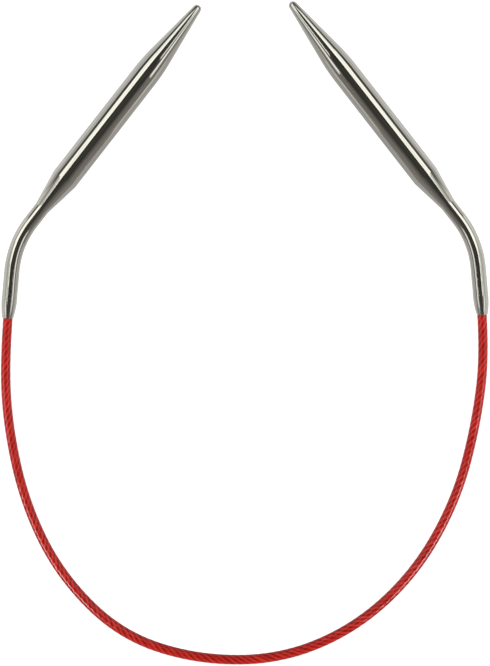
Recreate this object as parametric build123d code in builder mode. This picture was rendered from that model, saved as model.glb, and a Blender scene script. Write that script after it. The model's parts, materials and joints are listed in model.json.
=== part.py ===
from build123d import *
import math
import os

os.makedirs("parts", exist_ok=True)

# A fixed circular knitting needle, lying on a flat surface, in millimetres.
# +Z is up, +Y points the way the needle points face and +X is to the right.
# The origin is on the surface, in the middle of the two needles.

# Needle, along its axis from the point to the mouth of the neck
shaft_diameter = 3.75
shaft_length = 19.8
point_length = 10.7
nose_radius = 0.62
point_blend_radius = 25.0
rear_cone_length = 5.05
crease_radius = 1.5
neck_diameter = 2.15
neck_upper_straight = 2.4
neck_bend_radius = 13.0
neck_lower_straight = 3.95
neck_end_length = 2.6
neck_mouth_diameter = 1.5

# How the needle lies: both angles are from the +Y axis, leaning in towards the middle
shaft_lean = 37.9
neck_lean = 5.0
mouth_half_span = 32.85
right_needle_advance = 0.48

# Cable: a wire rope in a nylon jacket, both fixed in the neck's stepped bore
cable_diameter = 1.35
rope_diameter = 1.0
assembly_gap = 0.01
jacket_depth = 3.0
rope_depth = 6.2
first_run_outside = 4.8

# The cable's route from the left neck to the right one, where it lies on the surface.
# The two points at each end of it are on the axis of the neck, at the needle's height.
route_on_surface = [
    (-33.0, -36.4),
    (-30.6, -47.5),
    (-25.7, -57.5),
    (-17.4, -65.8),
    (-6.8, -69.3),
    (4.8, -69.3),
    (15.2, -65.0),
    (23.6, -57.3),
    (29.3, -47.2),
    (32.1, -36.6),
]

# Stretches of the cable, each from the middle of one run of the route to the middle of
# another: (name, first route point in it, last route point in it)
cable_stretches = [
    ("left_end", 0, 1),
    ("left_upper_bend", 2, 2),
    ("left_run", 3, 4),
    ("left_lower_bend", 5, 5),
    ("loop", 6, 7),
    ("right_lower_bend", 8, 8),
    ("right_run", 9, 10),
    ("right_upper_bend", 11, 11),
    ("right_end", 12, 13),
]

shaft_radius = shaft_diameter / 2
neck_radius = neck_diameter / 2
neck_mouth_radius = neck_mouth_diameter / 2
cable_radius = cable_diameter / 2
rope_radius = rope_diameter / 2
neck_bend_angle = shaft_lean - neck_lean
neck_end_straight = neck_end_length + neck_lower_straight
shaft_start = neck_upper_straight + rear_cone_length
shaft_end = shaft_start + shaft_length
needle_end = shaft_end + point_length
needle_height = shaft_radius


def leaning(side, angle):
    """Direction along a needle towards its point; side is -1 on the left and 1 on the right."""
    return Vector(-side * math.sin(math.radians(angle)), math.cos(math.radians(angle)), 0)


def needle_reach():
    """How far the point's end is ahead of the middle of the neck's mouth, along +Y."""
    chord = 2 * neck_bend_radius * math.sin(math.radians(neck_bend_angle / 2))
    along_bend = leaning(1, (shaft_lean + neck_lean) / 2) * chord
    along_neck = leaning(1, neck_lean) * neck_end_straight
    along_shaft = leaning(1, shaft_lean) * (needle_end - nose_radius)
    return along_neck.Y + along_bend.Y + along_shaft.Y + nose_radius


def mouth_centre(side):
    """Middle of the neck's mouth, with the pair of needles centred on the origin."""
    below_mouth = neck_mouth_radius * math.sin(math.radians(neck_lean))
    mouth_y = (below_mouth - needle_reach()) / 2 + side * right_needle_advance / 2
    return Vector(side * mouth_half_span, mouth_y, needle_height)


def along_plane(start, direction):
    """Plane for a profile whose first axis runs along the needle."""
    return Plane(origin=start, x_dir=direction, z_dir=(0, 0, 1))


def corner_at(profile, along, out):
    """The corner of a profile nearest to one place, in the profile's own two axes."""
    return profile.vertices().sort_by_distance((along, out, 0))[0]


def make_left_needle():
    """Pointed shaft, rear cone and bent neck with a stepped blind bore, in one piece."""
    mouth = mouth_centre(-1)
    neck_direction = leaning(-1, neck_lean)
    shaft_direction = leaning(-1, shaft_lean)
    bend = JernArc(
        start=mouth + neck_direction * neck_end_straight,
        tangent=neck_direction,
        radius=neck_bend_radius,
        arc_size=-neck_bend_angle,
    )
    base = bend @ 1

    # The point is a cone that meets the round nose and the shaft with no edge
    nose_centre = point_length - nose_radius
    slant = math.hypot(nose_centre, shaft_radius)
    half_angle = math.atan2(shaft_radius, nose_centre) - math.asin(nose_radius / slant)
    nose_meets_cone = (
        needle_end - nose_radius + nose_radius * math.sin(half_angle),
        nose_radius * math.cos(half_angle),
    )

    with BuildPart() as needle:
        # Upper neck, rear cone, shaft and point
        with BuildSketch(along_plane(base, shaft_direction)) as profile:
            with BuildLine():
                Polyline(
                    (needle_end, 0),
                    (0, 0),
                    (0, neck_radius),
                    (neck_upper_straight, neck_radius),
                    (shaft_start, shaft_radius),
                    (shaft_end, shaft_radius),
                    nose_meets_cone,
                )
                RadiusArc(nose_meets_cone, (needle_end, 0), nose_radius)
            make_face()
            fillet(corner_at(profile, shaft_end, shaft_radius), point_blend_radius)
            fillet(corner_at(profile, shaft_start, shaft_radius), crease_radius)
            fillet(corner_at(profile, neck_upper_straight, neck_radius), crease_radius)
        revolve(axis=Axis(base, shaft_direction))

        # Bend of the neck
        with BuildSketch(Plane(origin=bend @ 0, z_dir=neck_direction)):
            Circle(neck_radius)
        sweep(path=bend)

        # Lower neck, closed down onto the cable, with its bore
        with BuildSketch(along_plane(mouth, neck_direction)):
            with BuildLine():
                mouth_edge = (0, neck_mouth_radius)
                neck_full = (neck_end_length, neck_radius)
                TangentArc(neck_full, mouth_edge, tangent=(-1, 0))
                Polyline(
                    mouth_edge,
                    (0, cable_radius + assembly_gap),
                    (jacket_depth, cable_radius + assembly_gap),
                    (jacket_depth, rope_radius + assembly_gap),
                    (rope_depth, rope_radius + assembly_gap),
                    (rope_depth, 0),
                    (neck_end_straight, 0),
                    (neck_end_straight, neck_radius),
                    neck_full,
                )
            make_face()
        revolve(axis=Axis(mouth, neck_direction))
    return needle.part


def make_right_needle(left_needle):
    """Mirror image of the left needle, a little further forward."""
    with BuildPart() as needle:
        with Locations((0, right_needle_advance, 0)):
            add(mirror(left_needle, about=Plane.YZ, mode=Mode.PRIVATE))
    return needle.part


def cable_route():
    """Corner points of the cable's route, from inside the left neck to inside the right one."""
    left_in = mouth_centre(-1) + leaning(-1, neck_lean) * jacket_depth
    left_out = mouth_centre(-1) - leaning(-1, neck_lean) * first_run_outside
    right_out = mouth_centre(1) - leaning(1, neck_lean) * first_run_outside
    right_in = mouth_centre(1) + leaning(1, neck_lean) * jacket_depth
    lying = [Vector(x, y, cable_radius) for x, y in route_on_surface]
    return [left_in, left_out] + lying + [right_out, right_in]


def corner_radius(route, i):
    """Radius of the arc at one corner of the route, as large as its two runs allow."""
    before = route[i] - route[i - 1]
    after = route[i + 1] - route[i]
    half_turn = math.radians(before.get_angle(after) / 2)
    return 0.45 * min(before.length, after.length) / math.tan(half_turn)


def stretch_line(route, first, last, extra=0.0):
    """Centreline of one stretch: it starts and ends in the middle of a run, or at the route's
    own ends, where extra carries it deeper into the neck."""
    corners = [i for i in range(first, last + 1) if 0 < i < len(route) - 1]
    if first == 0:
        start = route[0] + (route[0] - route[1]).normalized() * extra
    else:
        start = (route[first - 1] + route[first]) / 2
    if last == len(route) - 1:
        end = route[-1] + (route[-1] - route[-2]).normalized() * extra
    else:
        end = (route[last] + route[last + 1]) / 2
    points = [start] + [route[i] for i in corners] + [end]
    radii = [corner_radius(route, i) for i in corners]
    with BuildLine() as line:
        FilletPolyline(*points, radius=radii)
    return line.wire()


def section_plane(line):
    return Plane(origin=line @ 0, z_dir=line % 0)


def make_jacket(line):
    """Nylon tube along one stretch of the cable."""
    with BuildPart() as jacket:
        with BuildSketch(section_plane(line)):
            Circle(cable_radius)
            Circle(rope_radius + assembly_gap, mode=Mode.SUBTRACT)
        sweep(path=line)
    return jacket.part


def make_rope(line):
    """Wire rope along one stretch of the cable, as a plain rod of its outer diameter."""
    with BuildPart() as rope:
        with BuildSketch(section_plane(line)):
            Circle(rope_radius)
        sweep(path=line)
    return rope.part


def save(part, label):
    part.label = label
    export_step(part, f"parts/{label}.step")


left_needle = make_left_needle()
right_needle = make_right_needle(left_needle)
save(left_needle, "left_needle")
save(right_needle, "right_needle")
print("needle volumes", round(left_needle.volume, 2), round(right_needle.volume, 2))

route = cable_route()
jacket_area = math.pi * (cable_radius**2 - (rope_radius + assembly_gap) ** 2)
rope_area = math.pi * rope_radius**2
cable_length = 0.0
for name, first, last in cable_stretches:
    jacket_line = stretch_line(route, first, last)
    rope_line = stretch_line(route, first, last, rope_depth - jacket_depth)
    jacket = make_jacket(jacket_line)
    rope = make_rope(rope_line)
    save(jacket, f"jacket_{name}")
    save(rope, f"rope_{name}")
    cable_length += jacket_line.length
    jacket_match = jacket.volume / (jacket_area * jacket_line.length)
    rope_match = rope.volume / (rope_area * rope_line.length)
    print(name, "length", round(jacket_line.length, 2), "volume over section x length",
          round(jacket_match, 4), round(rope_match, 4))

for i in range(1, len(route) - 1):
    print("route point", i, tuple(round(c, 2) for c in route[i]),
          "run", round((route[i] - route[i - 1]).length, 2),
          "radius", round(corner_radius(route, i), 1))
print("jacket length", round(cable_length, 1),
      "between the mouths", round(cable_length - 2 * jacket_depth, 1))
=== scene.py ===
import json
import math
import bmesh
import bpy
from mathutils import Matrix, Vector

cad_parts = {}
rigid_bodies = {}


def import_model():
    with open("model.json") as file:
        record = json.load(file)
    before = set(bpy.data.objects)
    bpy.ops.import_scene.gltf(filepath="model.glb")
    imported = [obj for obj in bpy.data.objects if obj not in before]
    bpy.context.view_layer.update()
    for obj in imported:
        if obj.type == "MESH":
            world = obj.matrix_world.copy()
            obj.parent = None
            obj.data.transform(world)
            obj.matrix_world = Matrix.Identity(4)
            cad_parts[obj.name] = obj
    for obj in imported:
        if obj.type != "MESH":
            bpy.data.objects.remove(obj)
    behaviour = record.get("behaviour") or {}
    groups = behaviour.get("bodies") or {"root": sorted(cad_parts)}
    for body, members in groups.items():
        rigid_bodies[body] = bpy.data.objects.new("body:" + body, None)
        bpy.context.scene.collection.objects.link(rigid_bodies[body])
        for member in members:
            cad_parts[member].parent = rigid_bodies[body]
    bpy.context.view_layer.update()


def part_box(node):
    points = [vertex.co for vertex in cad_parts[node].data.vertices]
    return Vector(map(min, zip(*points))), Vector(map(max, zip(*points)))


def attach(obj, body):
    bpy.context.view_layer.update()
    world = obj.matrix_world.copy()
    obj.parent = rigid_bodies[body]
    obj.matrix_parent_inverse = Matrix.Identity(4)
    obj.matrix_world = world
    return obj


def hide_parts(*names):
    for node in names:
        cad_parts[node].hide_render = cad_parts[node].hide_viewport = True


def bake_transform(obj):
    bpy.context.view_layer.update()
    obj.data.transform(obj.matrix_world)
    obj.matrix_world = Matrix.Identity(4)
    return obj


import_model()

# A circular knitting needle: two steel needles, and a red nylon coated wire rope that joins
# them. Lengths are in metres: mm turns millimetres into metres.
mm = 0.001

# Needle, along its axis
shaft_radius = 1.875 * mm
shaft_length = 19.8 * mm
point_length = 10.7 * mm
nose_radius = 0.62 * mm
point_blend_radius = 25.0 * mm
rear_cone_length = 5.05 * mm
crease_radius = 0.6 * mm
neck_radius = 1.075 * mm
neck_upper_straight = 2.4 * mm
neck_bend_radius = 13.0 * mm
neck_lower_straight = 3.95 * mm
neck_end_length = 2.6 * mm
neck_mouth_radius = 0.75 * mm
shaft_lean = math.radians(37.9)
neck_lean = math.radians(5.0)
mouth_half_span = 32.85 * mm
neck_bend_angle = shaft_lean - neck_lean
neck_end_straight = neck_end_length + neck_lower_straight

# The point is a cone that meets the round nose and the shaft with no edge
nose_reach = point_length - nose_radius
half_angle = (math.atan2(shaft_radius, nose_reach)
              - math.asin(nose_radius / math.hypot(nose_reach, shaft_radius)))

# Cable
cable_radius = 0.675 * mm
bore_clearance = 0.01 * mm
rope_radius = 0.5 * mm
jacket_depth = 3.0 * mm
rope_depth = 6.2 * mm
bore_radius = cable_radius + bore_clearance
rope_bore_radius = rope_radius + bore_clearance
rope_lay = 6.0 * mm
strand_count = 6
valley_depth = 0.012 * mm

# The right needle is the left one's mirror image, a little further forward
right_needle_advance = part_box("right_needle")[0].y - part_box("left_needle")[0].y

left_mouth = Vector((
    -mouth_half_span,
    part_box("left_needle")[0].y + neck_mouth_radius * math.sin(neck_lean),
    shaft_radius,
))
right_mouth = Vector((mouth_half_span, left_mouth.y + right_needle_advance, shaft_radius))

# The cable's route where it lies on the surface, in millimetres. At each end it goes on through
# two more points, which are on the neck's axis.
route_on_surface = [
    (-33.0, -36.4),
    (-30.6, -47.5),
    (-25.7, -57.5),
    (-17.4, -65.8),
    (-6.8, -69.3),
    (4.8, -69.3),
    (15.2, -65.0),
    (23.6, -57.3),
    (29.3, -47.2),
    (32.1, -36.6),
]
first_run_outside = 4.8 * mm


def leaning(side, lean):
    """Direction along a needle towards its point; side is -1 on the left, 1 on the right."""
    return Vector((-side * math.sin(lean), math.cos(lean), 0))


# ---------------------------------------------------------------- camera

lens_length = 180
film_width = 36
view_height = 461 * mm + shaft_radius
view_centre = Vector((0, -23.96 * mm, 0))


def place_camera():
    """Looks straight down on the needle as it lies, with its points at the top."""
    data = bpy.data.cameras.new("camera")
    data.lens = lens_length
    data.sensor_width = film_width
    camera = bpy.data.objects.new("camera", data)
    camera.location = view_centre + Vector((0, 0, view_height))
    bpy.context.collection.objects.link(camera)
    bpy.context.scene.camera = camera


# ---------------------------------------------------------------- cable

def cable_route():
    """Control points of the cable's line, from inside the left neck to inside the right one."""
    left_axis = leaning(-1, neck_lean)
    right_axis = leaning(1, neck_lean)
    lying = [Vector((x * mm, y * mm, cable_radius)) for x, y in route_on_surface]
    left_end = [left_mouth + left_axis * jacket_depth, left_mouth - left_axis * first_run_outside]
    right_end = [right_mouth - right_axis * first_run_outside, right_mouth + right_axis * jacket_depth]
    return left_end + lying + right_end


line_steps = 64


def draw_line(route):
    """The smooth line of the cable, as close points along its NURBS curve."""
    curve = bpy.data.curves.new("cable_line", "CURVE")
    curve.dimensions = "3D"
    curve.resolution_u = line_steps
    spline = curve.splines.new("NURBS")
    spline.points.add(len(route) - 1)
    for point, place in zip(spline.points, route):
        point.co = (*place, 1)
    spline.order_u = 3
    spline.use_endpoint_u = True
    line = bpy.data.objects.new("cable_line", curve)
    bpy.context.collection.objects.link(line)
    bpy.context.view_layer.update()
    mesh = bpy.data.meshes.new_from_object(line)
    points = [v.co.copy() for v in mesh.vertices]
    bpy.data.objects.remove(line)
    bpy.data.meshes.remove(mesh)
    return points


def distances(points):
    """How far along the line each of its points is."""
    far = [0.0]
    for a, b in zip(points, points[1:]):
        far.append(far[-1] + (b - a).length)
    return far


def carried_sides(points):
    """Two directions square to the line at each of its points, carried along with no twist."""
    headings = [(b - a).normalized() for a, b in zip(points, points[1:])]
    tangents = [headings[0]]
    tangents += [(a + b).normalized() for a, b in zip(headings, headings[1:])]
    tangents.append(headings[-1])
    across = tangents[0].cross(Vector((0, 0, 1))).normalized()
    sides = []
    for k, tangent in enumerate(tangents):
        if k:
            across = tangents[k - 1].rotation_difference(tangent) @ across
        across = (across - tangent * across.dot(tangent)).normalized()
        sides.append((across, tangent.cross(across)))
    return sides


def on_circle(middle, across, up, turn, radius):
    """A point on a circle round a place on the line."""
    return middle + (across * math.cos(turn) + up * math.sin(turn)) * radius


def skin_of(rings):
    """Corner places and faces of a closed tube through rings of equally many points."""
    count = len(rings[0])
    places = [place for ring in rings for place in ring]
    faces = []
    for k in range(len(rings) - 1):
        for i in range(count):
            a, b = k * count + i, k * count + (i + 1) % count
            faces.append((a, b, b + count, a + count))
    for ring, turned in ((0, True), (len(rings) - 1, False)):
        middle = len(places)
        places.append(sum(rings[ring], Vector()) / count)
        for i in range(count):
            a, b = ring * count + i, ring * count + (i + 1) % count
            faces.append((b, a, middle) if turned else (a, b, middle))
    return places, faces


smooth_up_to = math.radians(40)


def new_piece(name, places, faces):
    """A piece with a given skin, its sides smooth and its flat ends sharp."""
    mesh = bpy.data.meshes.new(name)
    mesh.from_pydata(places, [], faces)
    piece = bpy.data.objects.new(name, mesh)
    bpy.context.collection.objects.link(piece)
    choose_object(piece)
    bpy.ops.object.shade_smooth_by_angle(angle=smooth_up_to)
    return piece


def keep_values(piece, name, values):
    """Stores one number for each point of a piece."""
    kept = piece.data.attributes.new(name, "FLOAT", "POINT")
    kept.data.foreach_set("value", values)


def keep_places(piece, name, places):
    """Stores one place for each point of a piece."""
    kept = piece.data.attributes.new(name, "FLOAT_VECTOR", "POINT")
    kept.data.foreach_set("vector", [c for place in places for c in place])


jacket_sides = 72


def make_jacket(name, line, along, sides):
    """Nylon jacket of one length of cable: its skin dips a little between the rope's strands."""
    rings, lay, laid = [], [], []
    for place, far, (across, up) in zip(line, along, sides):
        twist = 2 * math.pi * far / rope_lay
        ring = []
        for k in range(jacket_sides):
            turn = 2 * math.pi * k / jacket_sides
            crest = abs(math.cos(strand_count / 2 * turn))
            radius = cable_radius - valley_depth * (1 - crest)
            ring.append(on_circle(place, across, up, turn + twist, radius))
            lay.append(crest)
            laid.append((radius * math.cos(turn), radius * math.sin(turn), far))
        rings.append(ring)
    lay += [1.0, 1.0]
    laid += [(0, 0, along[0]), (0, 0, along[-1])]
    jacket = new_piece(name, *skin_of(rings))
    # The finish darkens the grooves by lay: partly the deeper red of thicker nylon, partly painted
    # shade between the strands.
    keep_values(jacket, "lay", lay)
    keep_places(jacket, "laid", laid)
    return jacket


strand_sides = 12


def make_rope(name, line, along, sides):
    """Wire rope in one length of cable: six strands laid round a straight one."""
    strand_radius = rope_radius / 3
    places, faces = [], []
    for strand in range(strand_count + 1):
        off_centre = 0 if strand == strand_count else 2 * strand_radius
        rings = []
        for place, far, (across, up) in zip(line, along, sides):
            turn = 2 * math.pi * (far / rope_lay + strand / strand_count)
            middle = on_circle(place, across, up, turn, off_centre)
            ring = []
            for k in range(strand_sides):
                round_it = 2 * math.pi * k / strand_sides
                ring.append(on_circle(middle, across, up, round_it, strand_radius))
            rings.append(ring)
        more_places, more_faces = skin_of(rings)
        first = len(places)
        places += more_places
        faces += [tuple(first + corner for corner in face) for face in more_faces]
    return new_piece(name, places, faces)


def middle_of_run(route, i):
    return (route[i] + route[i + 1]) / 2


def nearest(points, place):
    return min(range(len(points)), key=lambda i: (points[i] - place).length)


rope_end_steps = 16


def whole_line(line):
    """The cable's line, carried on at both ends to where the rope ends in the necks."""
    rope_only = rope_depth - jacket_depth
    steps = [rope_only * (k + 1) / rope_end_steps for k in range(rope_end_steps)]
    left_way, right_way = leaning(-1, neck_lean), leaning(1, neck_lean)
    before = [line[0] + left_way * step for step in reversed(steps)]
    after = [line[-1] + right_way * step for step in steps]
    return before + line + after


# Lengths of the cable, one piece each: (name, the body at its start, the body at
# its end, the run of the route that it ends in, the nodes that it stands for)
cable_lengths = [
    ("left_upper", "left_needle", "left_run", 3, ("left_end", "left_upper_bend", "left_run")),
    ("left_lower", "left_run", "loop", 6, ("left_run", "left_lower_bend", "loop")),
    ("right_lower", "loop", "right_run", 9, ("loop", "right_lower_bend", "right_run")),
    ("right_upper", "right_run", "right_needle", 12, ("right_run", "right_upper_bend", "right_end")),
]


def make_cable():
    """The cable in four lengths on one line: the jacket, and the rope that runs on past its ends."""
    route = cable_route()
    line = draw_line(route)
    whole = whole_line(line)
    along = distances(whole)
    sides = carried_sides(whole)
    jacket_first, jacket_last = rope_end_steps, rope_end_steps + len(line) - 1
    whole_last = len(whole) - 1
    last_run = len(route) - 2

    first = 0
    for name, body_a, body_b, run, stretches in cable_lengths:
        last = whole_last if run == last_run else nearest(whole, middle_of_run(route, run))
        a, b = max(first, jacket_first), min(last, jacket_last)
        jacket = make_jacket("jacket_" + name, whole[a:b + 1], along[a:b + 1], sides[a:b + 1])
        rope = make_rope(
            "rope_" + name, whole[first:last + 1], along[first:last + 1], sides[first:last + 1])

        for piece, kind, finish, slot in (
            (jacket, "jacket_", red_nylon, "red_nylon"),
            (rope, "rope_", rope_steel, "rope_steel"),
        ):
            piece.data.materials.append(finish)
            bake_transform(piece)
            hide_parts(*[kind + stretch for stretch in stretches])
        first = last


# ---------------------------------------------------------------- needles

# How finely each part of a needle is drawn
needle_sides = 96
swage_rings = 12
lower_neck_rings = 14
bend_rings = 26
upper_neck_rings = 6
rear_cone_rings = 12
shaft_rings = 11
point_rings = 6
nose_rings = 9
shoulder_rings = 6
crease_rings = 4

bore_end_depth = 0.15 * mm


def choose_object(piece):
    bpy.ops.object.select_all(action="DESELECT")
    piece.select_set(True)
    bpy.context.view_layer.objects.active = piece


def start_ring(name, centre, facing, radius):
    """A new piece that is one ring of points, square to the way that it faces."""
    bpy.ops.object.select_all(action="DESELECT")
    turn = Vector((0, 0, 1)).rotation_difference(facing).to_euler()
    bpy.ops.mesh.primitive_circle_add(
        vertices=needle_sides, radius=radius, location=centre, rotation=turn)
    piece = bpy.context.object
    piece.name = piece.data.name = name
    bpy.ops.object.transform_apply(location=True, rotation=True, scale=True)
    bpy.ops.object.mode_set(mode="EDIT")
    bpy.ops.mesh.select_mode(type="VERT")
    bpy.ops.mesh.select_all(action="SELECT")
    return piece


def draw_out(origin, facing, rings):
    """Extrudes the chosen ring through the others, each a distance from the origin and a radius.
    The first of them is the chosen ring itself."""
    for (at, radius), (next_at, next_radius) in zip(rings, rings[1:]):
        bpy.ops.mesh.extrude_region_move(TRANSFORM_OT_translate={"value": facing * (next_at - at)})
        bpy.ops.transform.resize(
            value=(next_radius / radius,) * 3, center_override=origin + facing * next_at)


def close_ring(step):
    """Closes the chosen ring with a pole, a step further on."""
    bpy.ops.mesh.extrude_region_move(TRANSFORM_OT_translate={"value": step})
    bpy.ops.mesh.merge(type="CENTER")


def even_rings(start, end, count):
    """Rings evenly spaced along a straight side, after its first one."""
    (at, radius), (last_at, last_radius) = start, end
    shares = [(k + 1) / count for k in range(count)]
    return [(at + (last_at - at) * s, radius + (last_radius - radius) * s) for s in shares]


same_place = 0.001 * mm


def choose_ring(piece, origin, facing, at):
    """Chooses only the ring of points at a distance along the needle from the origin."""
    bpy.ops.mesh.select_all(action="DESELECT")
    shape = bmesh.from_edit_mesh(piece.data)
    for corner in shape.verts:
        corner.select = abs((corner.co - origin).dot(facing) - at) < same_place
    shape.select_flush(True)
    bmesh.update_edit_mesh(piece.data)


def straightened(place, base):
    """Where a point of the left needle would be if its neck had no bend: across, up, along."""
    neck_way, shaft_way = leaning(-1, neck_lean), leaning(-1, shaft_lean)
    neck_across = Vector((neck_way.y, -neck_way.x, 0))
    shaft_across = Vector((shaft_way.y, -shaft_way.x, 0))
    bend_start = left_mouth + neck_way * neck_end_straight
    bend_centre = bend_start + neck_across * neck_bend_radius
    bend_length = neck_bend_radius * neck_bend_angle
    up = place.z - shaft_radius
    on_shaft = place - base
    on_neck = place - bend_start
    if on_neck.dot(neck_way) < 0:
        return on_neck.dot(neck_across), up, neck_end_straight + on_neck.dot(neck_way)
    if on_shaft.dot(shaft_way) > 0:
        along = neck_end_straight + bend_length + on_shaft.dot(shaft_way)
        return on_shaft.dot(shaft_across), up, along
    spoke = Vector((place - bend_centre).xy)
    turned = spoke.angle(Vector((bend_start - bend_centre).xy))
    return neck_bend_radius - spoke.length, up, neck_end_straight + neck_bend_radius * turned


def keep_grain(piece, straight):
    """Keeps each point's place on the straightened needle, and the same place moved out to the
    shaft's radius, so that the hairlines of grinding and polishing run along every surface."""
    keep_places(piece, "straight", straight)
    grain = []
    for across, up, along in straight:
        out = math.hypot(across, up) or 1.0
        grain.append((across / out * shaft_radius, up / out * shaft_radius, along))
    keep_places(piece, "grain", grain)


def draw_bore(neck_way):
    """The stepped bore, from its blind end out to the mouth."""
    draw_out(left_mouth, neck_way, [
        (rope_depth, rope_bore_radius),
        (jacket_depth, rope_bore_radius),
        (jacket_depth, bore_radius),
        (0, bore_radius),
        (0, neck_mouth_radius),
    ])


def draw_lower_neck(neck_way):
    """The neck's end, swaged down onto the cable in a long arc, and the straight above it."""
    rise = neck_radius - neck_mouth_radius
    swage_radius = (neck_end_length**2 + rise**2) / (2 * rise)
    swage = []
    for k in range(swage_rings + 1):
        at = neck_end_length * k / swage_rings
        drop = swage_radius - math.sqrt(swage_radius**2 - (neck_end_length - at)**2)
        swage.append((at, neck_radius - drop))
    neck_full = (neck_end_length, neck_radius)
    neck_top = (neck_end_straight, neck_radius)
    draw_out(left_mouth, neck_way, swage + even_rings(neck_full, neck_top, lower_neck_rings))


def bend_neck(neck_way):
    """The neck's bend. Gives the place on the axis where it ends."""
    bend_start = left_mouth + neck_way * neck_end_straight
    inward = Vector((neck_way.y, -neck_way.x, 0))
    bend_centre = bend_start + inward * neck_bend_radius
    bpy.ops.mesh.spin(
        steps=bend_rings, angle=neck_bend_angle, center=bend_centre, axis=(0, 0, 1))
    return bend_centre + Matrix.Rotation(-neck_bend_angle, 3, "Z") @ (bend_start - bend_centre)


shaft_start = neck_upper_straight + rear_cone_length
shaft_end = shaft_start + shaft_length
needle_end = shaft_end + point_length


def draw_shaft(base, shaft_way):
    """Upper neck, rear cone, shaft, point and round nose."""
    nose_start = (
        needle_end - nose_radius + nose_radius * math.sin(half_angle),
        nose_radius * math.cos(half_angle),
    )
    corners = [
        (0, neck_radius),
        (neck_upper_straight, neck_radius),
        (shaft_start, shaft_radius),
        (shaft_end, shaft_radius),
        nose_start,
    ]
    counts = (upper_neck_rings, rear_cone_rings, shaft_rings, point_rings)
    rings = [corners[0]]
    for before, after, count in zip(corners, corners[1:], counts):
        rings += even_rings(before, after, count)
    draw_out(base, shaft_way, rings)

    nose = [nose_start]
    for k in range(1, nose_rings):
        turn = half_angle + (math.pi / 2 - half_angle) * k / nose_rings
        nose.append((needle_end - nose_radius * (1 - math.sin(turn)), nose_radius * math.cos(turn)))
    draw_out(base, shaft_way, nose)
    close_ring(shaft_way * (needle_end - nose[-1][0]))


def soften_edges(piece, base, shaft_way):
    """The point's soft shoulder, and the two creases of the rear cone."""
    cone_slope = math.atan2(shaft_radius - neck_radius, rear_cone_length)
    for at, radius, slope, steps in (
        (shaft_end, point_blend_radius, half_angle, shoulder_rings),
        (shaft_start, crease_radius, cone_slope, crease_rings),
        (neck_upper_straight, crease_radius, cone_slope, crease_rings),
    ):
        choose_ring(piece, base, shaft_way, at)
        bpy.ops.mesh.bevel(
            offset=radius * math.tan(slope / 2), segments=steps, profile=0.5, affect="EDGES")


def close_bore(neck_way):
    """Closes the blind end of the bore, the only hole left in the needle's skin."""
    bpy.ops.mesh.select_all(action="DESELECT")
    bpy.ops.mesh.select_non_manifold()
    close_ring(neck_way * bore_end_depth)


def model_needle():
    """The left needle, drawn out from the ring at the blind end of its bore."""
    neck_way, shaft_way = leaning(-1, neck_lean), leaning(-1, shaft_lean)
    piece = start_ring("needle", left_mouth + neck_way * rope_depth, neck_way, rope_bore_radius)
    draw_bore(neck_way)
    draw_lower_neck(neck_way)
    base = bend_neck(neck_way)
    draw_shaft(base, shaft_way)
    soften_edges(piece, base, shaft_way)
    close_bore(neck_way)
    bpy.ops.mesh.select_all(action="SELECT")
    bpy.ops.mesh.normals_make_consistent(inside=False)
    bpy.ops.object.mode_set(mode="OBJECT")
    keep_grain(piece, [straightened(v.co, base) for v in piece.data.vertices])
    return piece


def mirror_needle(needle):
    """The right needle: a mirrored copy with a mesh of its own."""
    other = needle.copy()
    other.data = needle.data.copy()
    bpy.context.collection.objects.link(other)
    choose_object(other)
    other.scale = (-1, 1, 1)
    other.location = (0, right_needle_advance, 0)
    bpy.ops.object.transform_apply(location=True, rotation=True, scale=True)
    bpy.ops.object.mode_set(mode="EDIT")
    bpy.ops.mesh.select_all(action="SELECT")
    bpy.ops.mesh.normals_make_consistent(inside=False)
    bpy.ops.object.mode_set(mode="OBJECT")
    return other


# The part of a needle's skin that is the wall of its bore, and isn't pushed
bore_wall_radius = 0.72 * mm
bore_wall_depth = rope_depth + 1 * mm


def push_skin(piece, name, share_at, strength, texture=None):
    """Moves a needle's outer skin in or out, by a share that depends on the place along it."""
    group = piece.vertex_groups.new(name=name)
    places = piece.data.attributes["straight"].data
    for v in piece.data.vertices:
        across, up, along = places[v.index].vector
        in_bore = math.hypot(across, up) < bore_wall_radius and along < bore_wall_depth
        group.add([v.index], 0.0 if in_bore else share_at(along), "REPLACE")
    change = piece.modifiers.new(name, "DISPLACE")
    change.vertex_group = name
    change.strength = strength
    change.mid_level = 0.5 if texture else 0.0
    if texture:
        change.texture = texture
        change.texture_coords = "LOCAL"
    choose_object(piece)
    bpy.ops.object.modifier_apply(modifier=name)


waist_depth = 0.06 * mm
waist_place = 0.45
waist_reach = 0.75
dent_depth = 0.035 * mm
dent_size = 1.3 * mm
dents_rise = 1.5 * mm
dents_fall = 4 * mm


def work_neck(piece):
    """What bending and swaging leave in the neck: a slight waist and faint dents. The waist's
    place and reach are shares of the bend's length."""
    bend_length = neck_bend_radius * neck_bend_angle
    bend_end = neck_end_straight + bend_length

    def waist(along):
        middle = waist_place * bend_length
        off = abs(along - neck_end_straight - middle) / (waist_reach * bend_length)
        return math.cos(math.pi / 2 * off) ** 2 if off < 1 else 0.0

    def worked(along):
        rise = min(1.0, max(0.0, along / dents_rise))
        fall = min(1.0, max(0.0, (bend_end - along) / dents_fall))
        return rise * fall

    dents = bpy.data.textures.new("dents", "CLOUDS")
    dents.noise_scale = dent_size
    dents.noise_depth = 1
    push_skin(piece, "waist", waist, -waist_depth)
    push_skin(piece, "dents", worked, dent_depth, dents)


def make_needles():
    """Both needles, each with a mesh and dents of its own."""
    left = model_needle()
    right = mirror_needle(left)
    for piece, name in ((left, "left_needle"), (right, "right_needle")):
        work_neck(piece)
        piece.name = piece.data.name = name + "_steel"
        choose_object(piece)
        bpy.ops.object.shade_smooth_by_angle(angle=smooth_up_to)
        piece.data.materials.append(polished_steel)
        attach(piece, name)
        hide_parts(name)


# ---------------------------------------------------------------- finishes

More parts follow.
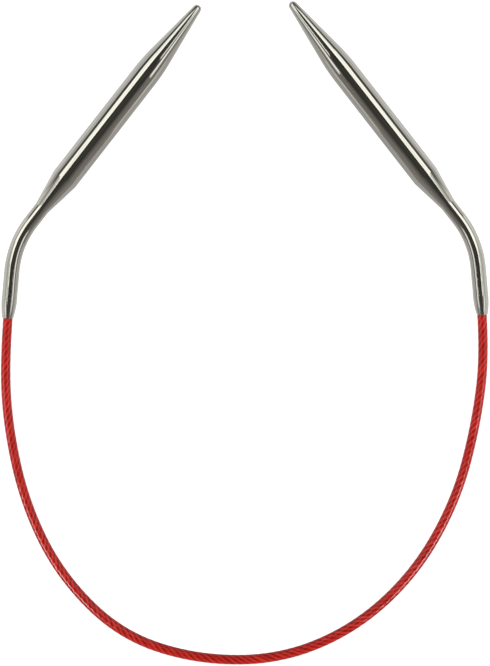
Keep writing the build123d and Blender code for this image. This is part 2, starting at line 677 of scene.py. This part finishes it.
def new_finish(name):
    """A new material, with what its nodes are added to."""
    finish = bpy.data.materials.new(name)
    finish.use_nodes = True
    shader = finish.node_tree.nodes["Principled BSDF"]
    return finish, finish.node_tree.nodes, finish.node_tree.links, shader


def stretched_noise(nodes, links, source, scale, detail):
    """Noise whose grains are stretched by a different scale along each axis of a place."""
    mapping = nodes.new("ShaderNodeMapping")
    mapping.inputs["Scale"].default_value = scale
    links.new(source, mapping.inputs["Vector"])
    noise = nodes.new("ShaderNodeTexNoise")
    noise.inputs["Scale"].default_value = 1.0
    noise.inputs["Detail"].default_value = detail
    links.new(mapping.outputs["Vector"], noise.inputs["Vector"])
    return noise.outputs["Fac"]


def ramp(nodes, links, source, stops):
    """Colour or grey level that follows a value, through stops of (value, colour)."""
    node = nodes.new("ShaderNodeValToRGB")
    band = node.color_ramp
    while len(band.elements) < len(stops):
        band.elements.new(0.5)
    for element, (at, colour) in zip(band.elements, stops):
        element.position = at
        element.color = (*colour, 1) if hasattr(colour, "__len__") else (colour, colour, colour, 1)
    links.new(source, node.inputs["Fac"])
    return node.outputs["Color"]


def mix_colours(nodes, links, kind, first, second, share=1.0):
    """Two colours multiplied, added or mixed; share is how much of the second one."""
    node = nodes.new("ShaderNodeMixRGB")
    node.blend_type = kind
    for source, name in ((share, "Fac"), (first, "Color1"), (second, "Color2")):
        if isinstance(source, bpy.types.NodeSocket):
            links.new(source, node.inputs[name])
        else:
            node.inputs[name].default_value = source
    return node.outputs["Color"]


def attribute(nodes, name, output):
    """What a piece's points keep under a name."""
    node = nodes.new("ShaderNodeAttribute")
    node.attribute_name = name
    return node.outputs[output]


def bump(nodes, links, height, distance, shader, strength):
    """Makes a finish look uneven, by a given height at most."""
    node = nodes.new("ShaderNodeBump")
    node.inputs["Strength"].default_value = strength
    node.inputs["Distance"].default_value = distance
    links.new(height, node.inputs["Height"])
    links.new(node.outputs["Normal"], shader.inputs["Normal"])


hairline_height = 0.0008 * mm
swage_fade = 10 * mm
wire_height = 0.002 * mm
wire_share = 0.65
# How much the strand pattern darkens the red nylon in the grooves: partly thicker nylon there, partly
# painted shade.
groove_tint_and_shade_share = 0.35


def make_polished_steel():
    """Stainless steel, ground and polished along the needle, with fine hairlines. The end of the
    neck, swaged onto the cable, is duller."""
    finish, nodes, links, shader = new_finish("polished_steel")
    place = attribute(nodes, "grain", "Vector")
    hairlines = stretched_noise(nodes, links, place, (4500, 4500, 90), 5.0)
    colour = ramp(nodes, links, hairlines, [
        (0.32, (0.46, 0.455, 0.415)),
        (0.68, (0.64, 0.635, 0.585)),
    ])
    links.new(colour, shader.inputs["Base Color"])
    parts = nodes.new("ShaderNodeSeparateXYZ")
    links.new(place, parts.inputs["Vector"])
    along = nodes.new("ShaderNodeMath")
    along.operation = "MULTIPLY"
    along.inputs[1].default_value = 1 / swage_fade
    links.new(parts.outputs["Z"], along.inputs[0])
    swaged = ramp(nodes, links, along.outputs["Value"], [(0.15, 1.0), (0.45, 0.0)])
    polished = ramp(nodes, links, hairlines, [(0.3, 0.05), (0.75, 0.12)])
    dull = ramp(nodes, links, hairlines, [(0.3, 0.16), (0.75, 0.28)])
    links.new(mix_colours(nodes, links, "MIX", polished, dull, swaged), shader.inputs["Roughness"])
    shader.inputs["Metallic"].default_value = 1.0
    bump(nodes, links, hairlines, hairline_height, shader, 0.5)
    return finish


def make_red_nylon():
    """Clear red nylon over bright wire: lighter on its strands, deep red in the rope's grooves, partly
    from thicker nylon there and partly painted shade.
    """
    finish, nodes, links, shader = new_finish("red_nylon")
    laid = attribute(nodes, "laid", "Vector")
    lay = attribute(nodes, "lay", "Fac")
    wires = stretched_noise(nodes, links, laid, (5500, 5500, 450), 2.0)
    # The colour follows the wires' noise and the strands' lay. It is darker in the rope's grooves,
    # partly the deeper red of thicker nylon and partly painted shade between the strands.
    strands = nodes.new("ShaderNodeMath")
    strands.operation = "MULTIPLY"
    links.new(lay, strands.inputs[0])
    strands.inputs[1].default_value = groove_tint_and_shade_share
    uneven = nodes.new("ShaderNodeMath")
    uneven.operation = "MULTIPLY_ADD"
    links.new(wires, uneven.inputs[0])
    uneven.inputs[1].default_value = wire_share
    links.new(strands.outputs["Value"], uneven.inputs[2])
    colour = ramp(nodes, links, uneven.outputs["Value"], [
        (0.38, (0.19, 0.005, 0.004)),
        (0.55, (0.32, 0.009, 0.007)),
        (0.76, (0.50, 0.024, 0.015)),
    ])
    links.new(colour, shader.inputs["Base Color"])
    rough = ramp(nodes, links, wires, [(0.3, 0.16), (0.7, 0.26)])
    links.new(rough, shader.inputs["Roughness"])
    shader.inputs["Specular IOR Level"].default_value = 0.25
    shader.inputs["Coat Weight"].default_value = 0.2
    shader.inputs["Coat Roughness"].default_value = 0.06
    bump(nodes, links, wires, wire_height, shader, 0.4)
    return finish


def make_rope_steel():
    """Drawn steel wire, dull and a little uneven."""
    finish, nodes, links, shader = new_finish("rope_steel")
    place = nodes.new("ShaderNodeTexCoord").outputs["Object"]
    drawn = stretched_noise(nodes, links, place, (6000, 6000, 6000), 3.0)
    colour = ramp(nodes, links, drawn, [
        (0.3, (0.30, 0.30, 0.31)),
        (0.7, (0.48, 0.48, 0.49)),
    ])
    links.new(colour, shader.inputs["Base Color"])
    rough = ramp(nodes, links, drawn, [(0.3, 0.28), (0.7, 0.42)])
    links.new(rough, shader.inputs["Roughness"])
    shader.inputs["Metallic"].default_value = 1.0
    return finish


# ---------------------------------------------------------------- studio

light_height = 2.0


def new_light(name, size, radiance, colour):
    """A flat soft light of a given brightness, that the camera doesn't see."""
    width, height = size
    light = bpy.data.lights.new(name, "AREA")
    light.shape = "RECTANGLE"
    light.size = width
    light.size_y = height
    light.energy = math.pi * radiance * width * height
    light.color = colour
    panel = bpy.data.objects.new(name, light)
    panel.visible_camera = False
    bpy.context.collection.objects.link(panel)
    return panel


def hang_light(name, side, out, ahead, radiance, colour=(1, 1, 1)):
    """A light overhead, square to one needle's shaft. It reaches from the first to the second
    value of out and of ahead, outwards and towards the point, as shares of its height."""
    across = Vector((side * math.cos(shaft_lean), math.sin(shaft_lean), 0))
    middle = across * sum(out) / 2 + leaning(side, shaft_lean) * sum(ahead) / 2
    size = ((out[1] - out[0]) * light_height, (ahead[1] - ahead[0]) * light_height)
    panel = new_light(name, size, radiance, colour)
    panel.location = (middle + Vector((0, 0, 1))) * light_height
    panel.rotation_euler = (0, 0, side * shaft_lean)
    return panel


card_size = (50 * mm, 17 * mm)
card_place = (47.5 * mm, -20 * mm, 8.5 * mm)


def hang_lights(side):
    """The lights over one needle, and the low card beside it."""
    hang_light("key", side, out=(0.39, 1.32), ahead=(-0.37, 0.44), radiance=1.65,
               colour=(1.0, 1.0, 0.95))
    hang_light("low_key", side, out=(0.60, 1.15), ahead=(-0.62, -0.37), radiance=0.55,
               colour=(1.0, 1.0, 0.94))
    hang_light("inner", side, out=(-1.40, -0.75), ahead=(0.10, 0.85), radiance=1.1)
    card = new_light("side_card", card_size, 0.42, (0.98, 1.0, 0.93))
    card.location = (side * card_place[0], card_place[1], card_place[2])
    card.rotation_euler = (math.pi / 2, 0, side * math.pi / 2)


def hang_glint(side, jackets):
    """A bright light that reaches only the jackets, for the thin glints along the cable."""
    glint = hang_light("glint", side, out=(-2.20, -1.15), ahead=(-0.35, 0.55), radiance=16.0)
    glint.light_linking.receiver_collection = jackets


def light_room():
    """The room's own dim light: palest low down, darkest overhead."""
    world = bpy.data.worlds.new("studio")
    bpy.context.scene.world = world
    world.use_nodes = True
    nodes, links = world.node_tree.nodes, world.node_tree.links
    way = nodes.new("ShaderNodeTexCoord").outputs["Generated"]
    parts = nodes.new("ShaderNodeSeparateXYZ")
    links.new(way, parts.inputs["Vector"])
    room = ramp(nodes, links, parts.outputs["Z"], [
        (0.0, (0.34, 0.31, 0.30)),
        (0.23, (0.33, 0.30, 0.29)),
        (0.5, (0.25, 0.235, 0.225)),
        (0.71, (0.22, 0.215, 0.20)),
        (0.875, (0.09, 0.088, 0.08)),
        (0.97, (0.045, 0.044, 0.04)),
        (1.0, (0.07, 0.069, 0.06)),
    ])
    # Ahead of the needle, where the shafts' outer sides look: darker, with a bright rim low down
    ahead = ramp(nodes, links, parts.outputs["Y"], [(0.2, 0.0), (0.5, 1.0)])
    shade = ramp(nodes, links, ahead, [(0.0, 1.0), (1.0, 0.45)])
    rim = ramp(nodes, links, parts.outputs["Z"], [(0.15, 0.70), (0.26, 0.0)])
    shaded = mix_colours(nodes, links, "MULTIPLY", room, shade)
    lit = mix_colours(nodes, links, "MULTIPLY", rim, ahead)
    both = mix_colours(nodes, links, "ADD", shaded, lit)
    links.new(both, nodes["Background"].inputs["Color"])


def light_studio():
    """All the lights, for both needles, and the dim room round them."""
    jackets = bpy.data.collections.new("jackets")
    for piece in bpy.context.scene.objects:
        if piece.name.startswith("jacket_") and red_nylon.name in piece.data.materials:
            jackets.objects.link(piece)
    for side in (-1, 1):
        hang_lights(side)
        hang_glint(side, jackets)
    light_room()


floor_size = 12
glow_centre = (0, -11.9 * mm, 0)
glow_reach = 100 * mm
seen_glow = (0.85, 0.85, 0.85, 1)
seen_paper = (0.8, 0.8, 0.8, 1)
unseen_paper = (0.15, 0.15, 0.15, 1)


def lay_floor():
    """Plain white floor, lit from within like a light table. It throws less light upwards than
    the camera sees in it, and most of that from a ring round the middle."""
    bpy.ops.object.select_all(action="DESELECT")
    bpy.ops.mesh.primitive_plane_add(size=floor_size, location=(0, 0, 0))
    floor = bpy.context.object
    floor.name = "floor"
    finish, nodes, links, shader = new_finish("floor")
    shader.inputs["Roughness"].default_value = 1.0
    shader.inputs["Specular IOR Level"].default_value = 0.0
    place = nodes.new("ShaderNodeTexCoord").outputs["Object"]
    distance = nodes.new("ShaderNodeVectorMath")
    distance.operation = "DISTANCE"
    distance.inputs[1].default_value = glow_centre
    links.new(place, distance.inputs[0])
    from_middle = nodes.new("ShaderNodeMath")
    from_middle.operation = "MULTIPLY"
    from_middle.inputs[1].default_value = 1 / glow_reach
    links.new(distance.outputs["Value"], from_middle.inputs[0])
    glow = ramp(nodes, links, from_middle.outputs["Value"], [
        (0.24, 0.46),
        (0.31, 0.80),
        (0.44, 0.80),
        (0.56, 0.40),
    ])
    seen = nodes.new("ShaderNodeLightPath").outputs["Is Camera Ray"]
    shown = mix_colours(nodes, links, "MIX", glow, seen_glow, seen)
    links.new(shown, shader.inputs["Emission Color"])
    paper = mix_colours(nodes, links, "MIX", unseen_paper, seen_paper, seen)
    links.new(paper, shader.inputs["Base Color"])
    shader.inputs["Emission Strength"].default_value = 1.0
    floor.data.materials.append(finish)


place_camera()
polished_steel = make_polished_steel()
red_nylon = make_red_nylon()
rope_steel = make_rope_steel()
make_cable()
make_needles()
lay_floor()
light_studio()
bpy.context.scene.view_settings.view_transform = "Standard"
